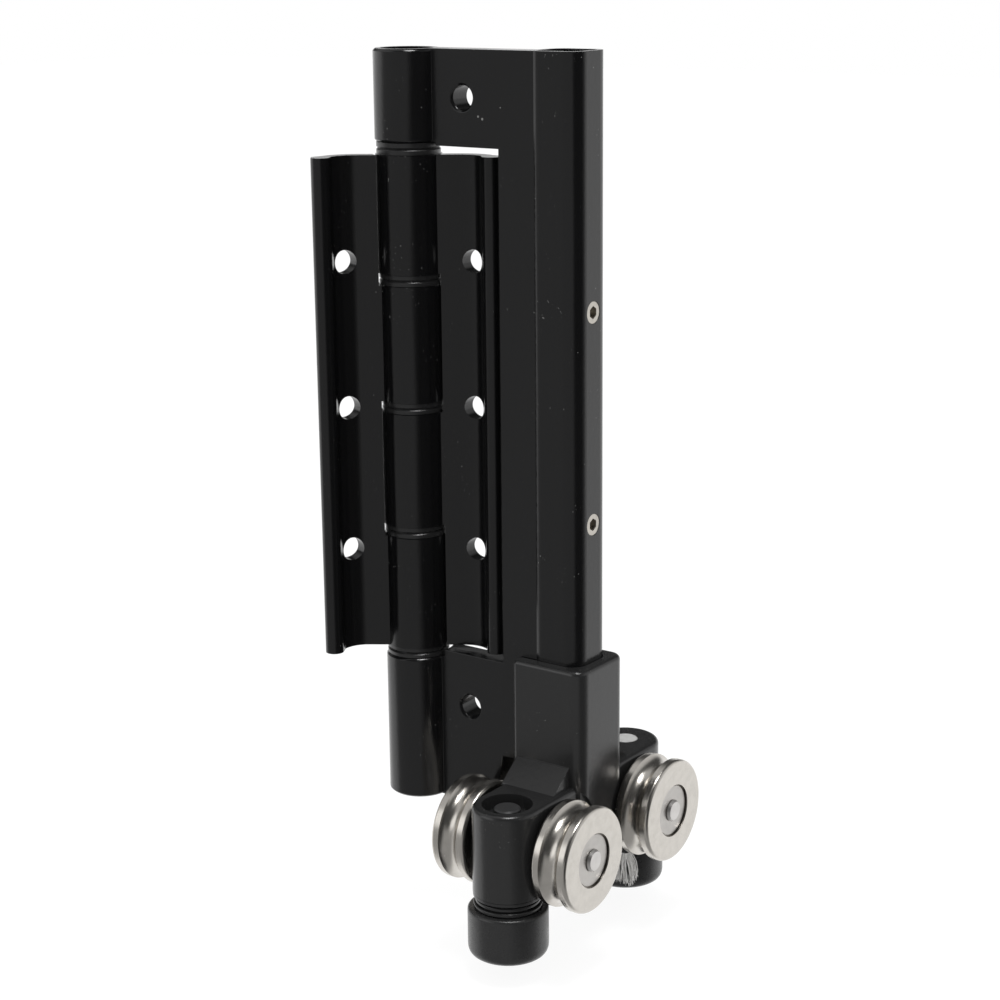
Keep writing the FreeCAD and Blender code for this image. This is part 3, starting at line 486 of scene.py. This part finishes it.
# %% Turn a profile
def turned(name, profile, centre, body, finish, around=72):
    """Turn a closed profile about an upright axis through centre."""
    mesh = bmesh.new()
    line = rounded(profile)
    rings = []
    for step in range(around):
        turn = 2 * math.pi * step / around
        x_share, y_share = math.cos(turn), math.sin(turn)
        rings.append([mesh.verts.new((centre.x + point.x * MM * x_share,
                                      centre.y + point.x * MM * y_share, point.y * MM))
                      for point in line])
    for step, ring in enumerate(rings):
        following = rings[(step + 1) % around]
        for index in range(len(line)):
            after = (index + 1) % len(line)
            face = mesh.faces.new((ring[index], following[index], following[after], ring[after]))
            face.smooth = True
    bmesh.ops.recalc_face_normals(mesh, faces=mesh.faces)
    piece = make_piece(name, mesh, finish)
    piece.data.set_sharp_from_angle(angle=math.radians(40))
    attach(piece, body)
    return piece


# %% Two rollers and two stacks of rings
roller_drop, pin_bore, hollow, hollow_depth, rim = 0.7, 2.8, 5.5, 3.9, 9.12
for end in ("front", "rear"):
    low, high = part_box(end + "_guide_roller")
    centre, top, base = (low + high) / 2, high.z / MM, low.z / MM - roller_drop
    roller = turned(end + "_roller_tyre", [
        (pin_bore, top), (pin_bore, base + hollow_depth), (hollow, base + hollow_depth),
        (hollow, base, 0.3), (rim, base, 2.4), (rim, top, 0.9)],
        centre, end + "_roller", roller_plastic)
    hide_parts(end + "_guide_roller")
    # From the top: the boss's skirt, a groove, a thin ring, a groove and a wider ring.
    turned(end + "_roller_rings", [
        (5.6, top + 3.5), (7.85, top + 3.5), (7.85, top + 2.7, 0.3),
        (6.8, top + 2.7), (6.8, top + 2.2),
        (7.35, top + 2.2, 0.25), (7.35, top + 1.4, 0.25),
        (6.75, top + 1.4), (6.75, top + 1.1),
        (7.75, top + 1.1, 0.3), (7.75, top + 0.2, 0.3), (5.6, top + 0.2)],
        centre, "carriage", carriage_coat)

# %% [markdown]
# ## Gussets
#
# A sloping gusset joins the beam to the sleeve at each end. It reaches nearly to the beam's left side,
# just far enough from the wheel to let it turn. The solid gusset could be stretched, but the solids
# are never changed here. So a prism is drawn over it: one outline, seen from the side, at two places
# along X. The outline counts from the middle of the carriage, so the rear gusset is its mirror image.

# %% Two gussets
carriage_middle, gusset_sides = 6.1, (15.2, 29.62)
outline = [(-15.25, -82.13), (-9.12, -77.32), (-8.2, -77.32), (-8.2, -83.2), (-15.25, -83.2)]
for name, way in (("front_gusset", -1), ("rear_gusset", 1)):
    mesh = bmesh.new()
    left, right = [[mesh.verts.new((x * MM, (carriage_middle - way * y) * MM, z * MM))
                    for y, z in outline] for x in gusset_sides]
    for index in range(len(outline)):
        mesh.faces.new((left[index - 1], left[index], right[index], right[index - 1]))
    mesh.faces.new(left)
    mesh.faces.new(list(reversed(right)))
    bmesh.ops.recalc_face_normals(mesh, faces=mesh.faces)
    gusset = make_piece(name, mesh, carriage_coat)
    edge = gusset.modifiers.new("round", "BEVEL")
    edge.width, edge.segments = 0.35 * MM, 3
    edge.harden_normals = True
    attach(gusset, "carriage")

# %% [markdown]
# ## Soft edges
#
# No cast or coated edge is truly sharp, and a rounded edge catches a thin line of light that tells
# the eye how big a thing is. The solid model keeps most edges sharp. A shader can fake a round edge,
# but the outline stays hard, so a Bevel modifier rounds them. It works only on a joined mesh, so a
# Weld modifier comes first. A Weighted Normal modifier then lets the large faces set the shading, or
# the small new faces would bend the reflections on the knuckles.

# %% Round the edges
touching = 0.000002
edge_widths = {"hinge_frame": 0.55, "left_leaf": 0.3, "right_leaf": 0.3, "carriage_body": 0.45}
for piece, width in edge_widths.items():
    modifiers = nodes[piece].modifiers
    modifiers.new("join", "WELD").merge_threshold = touching
    bevel = modifiers.new("round", "BEVEL")
    bevel.width, bevel.segments = width * MM, 2
    bevel.limit_method = "ANGLE"
    bevel.angle_limit = math.radians(35)
    even = modifiers.new("even shading", "WEIGHTED_NORMAL")
    even.mode = "FACE_AREA"
    even.keep_sharp = True
    print(piece, "edges rounded by", width, "mm")

# %% [markdown]
# ## The room
#
# The part was pictured on plain white. Black paint shows little colour of its own, so what we see on
# it is mostly a reflection of the room. The room could be built of lamps and white boards, but each
# board would have to be hidden from the camera and would throw more light on the part. Here the room
# is the world: a brightness for each direction that only mirror rays see, while the camera sees
# white. At the level of the table the room is bright behind the part, softer at the front left, and
# dark at the front right, where the camera stood. Above the table it is dark, apart from a window at
# the front left, a skylight and a pale side wall.

# %% The world's shader
world = bpy.data.worlds.new("studio")
bpy.context.scene.world = world
room = Finish("studio", world)
toward = room.node("TexCoord", out="Generated")


def facing(direction):
    """How much a ray goes the way of a direction, from -1 to 1."""
    way = tuple(Vector(direction).normalized())
    return room.node("VectorMath", {"operation": "DOT_PRODUCT"}, {0: toward, 1: way}, out="Value")


# %% What a mirror sees
behind = facing((-0.58, 0.81, 0.0)).rises(-0.12, 0.2)
right_front = facing((0.978, -0.208, 0.0)).rises(0.70, 0.93)
front_light, back_light, camera_shade = 0.37, 0.67, 0.92
table = (front_light + behind * back_light) * (1.0 - right_front * camera_shade)

window = facing((-0.56, -0.79, 0.25)).rises(0.86, 0.97)
skylight = facing((-0.56, -0.05, 0.82)).rises(0.7, 0.95)
side_wall = facing((0.8, 0.58, 0.1)).rises(0.6, 0.9)
dim_light, window_light, sky_light, wall_light = 0.05, 1.3, 0.5, 0.6
upper = dim_light + window * window_light + skylight * sky_light + side_wall * wall_light

above = room.axis(toward, "Z").rises(0.05, 0.22)
mirrored = table * (1.0 - above) + upper * above

# %% Who sees what
soft_fill = 0.85
glossy = room.node("LightPath", out="Is Glossy Ray")
seen = room.node("LightPath", out="Is Camera Ray")
strength = (mirrored * glossy + (1.0 - glossy) * soft_fill) * (1.0 - seen) + seen
light = room.node("Background", {}, {"Color": (1.0, 1.0, 1.0, 1.0), "Strength": strength})
room.node("OutputWorld", {}, {"Surface": light})
print("room:", len(room.tree.nodes), "nodes")

# %% [markdown]
# ## The lamp
#
# The world gives an even light from all sides, which leaves no shadow. A softbox over the part adds
# a faint one, and a soft gleam on the wheels. A sun or a spot lamp would do it too, but with a hard
# edge that the real picture doesn't have.

# %% A softbox
lamp_place, lamp_target, lamp_size, lamp_watts = (0.17, -0.1, 0.78), (0.02, 0.0, 0.0), 0.24, 3.2
softbox = bpy.data.lights.new("top light", "AREA")
softbox.shape = "RECTANGLE"
softbox.size = softbox.size_y = lamp_size
softbox.energy = lamp_watts
lamp = bpy.data.objects.new("top light", softbox)
lamp.location = lamp_place
lamp.rotation_euler = (Vector(lamp_target) - Vector(lamp_place)).to_track_quat("-Z", "Y").to_euler()
bpy.context.scene.collection.objects.link(lamp)
print("softbox:", lamp_watts, "W over", lamp_size, "m")

# %% [markdown]
# ## The floor
#
# A white floor could be lit until it turns white, but the same light would wash out the hinge. So the
# floor glows for the camera alone and keeps a little plain white for the shadow. Upright faces seen
# from a little above mirror what lies low in the room, so the floor is hidden from mirror rays and
# they reach the room's own lower half. The slide lets the carriage hang 5 mm lower than it is drawn,
# and the floor lies clear of that.

# %% A white floor
clear_space, floor_reach, floor_white, glow_strength, glow_share = 6 * MM, 3.0, 0.8, 1.1, 0.82
level = solid_box[0].z - clear_space
floor_mesh = bpy.data.meshes.new("floor")
corners = [(x * floor_reach, y * floor_reach, level) for x, y in ((-1, -1), (1, -1), (1, 1), (-1, 1))]
floor_mesh.from_pydata(corners, [], [(0, 1, 2, 3)])
floor = bpy.data.objects.new("floor", floor_mesh)
bpy.context.scene.collection.objects.link(floor)

ground = Finish("white floor")
seen = ground.node("LightPath", out="Is Camera Ray")
matt = ground.node("BsdfDiffuse", {}, {"Color": (floor_white, floor_white, floor_white, 1.0)})
glow = ground.node("Emission", {}, {"Color": (1.0, 1.0, 1.0, 1.0), "Strength": glow_strength})
mixed = ground.node("MixShader", {}, {0: seen * glow_share, 1: matt, 2: glow})
ground.node("OutputMaterial", {}, {"Surface": mixed})
floor_mesh.materials.append(ground.material)
floor.visible_glossy = False
print("floor at", round(level / MM, 1), "mm")

# %% [markdown]
# ## The camera
#
# The camera stands to the right of the part and a little above it, far enough away that upright
# edges stay nearly parallel. It could be placed by eye, but a small error in its height shows at
# once in the wheels' ovals. So its place and its lens were found by matching the outlines of the
# barrel, the leaves and the wheels, and each piece falls where the picture has it.

# %% Where the camera looks
eye = Vector((278.5, -375.4, 102.1)) * MM
turn, tip, roll = math.radians(35.56), math.radians(14.43), math.radians(-0.58)
right = Vector((math.cos(turn), math.sin(turn), 0))
ahead = Vector((-math.sin(turn) * math.cos(tip), math.cos(turn) * math.cos(tip), -math.sin(tip)))
upward = right.cross(ahead)
rolled_right = right * math.cos(roll) + upward * math.sin(roll)
rolled_up = upward * math.cos(roll) - right * math.sin(roll)
stance = Matrix((rolled_right, rolled_up, -ahead)).transposed().to_4x4()
print("camera", round(eye.length, 3), "m from the part's origin")

# %% Camera and lens
focal_pixels, middle_u, middle_v, picture = 2133.3, 503.5, 491.2, 1000
lens = bpy.data.cameras.new("camera")
lens.sensor_width = 36.0
lens.lens = focal_pixels * lens.sensor_width / picture
lens.shift_x = (picture / 2 - middle_u) / picture
lens.shift_y = (middle_v - picture / 2) / picture
lens.clip_start = 0.01
camera = bpy.data.objects.new("camera", lens)
camera.matrix_world = Matrix.Translation(eye) @ stance
bpy.context.scene.collection.objects.link(camera)
bpy.context.scene.camera = camera
bpy.context.scene.view_settings.view_transform = "Standard"
print("lens", round(lens.lens, 1), "mm")
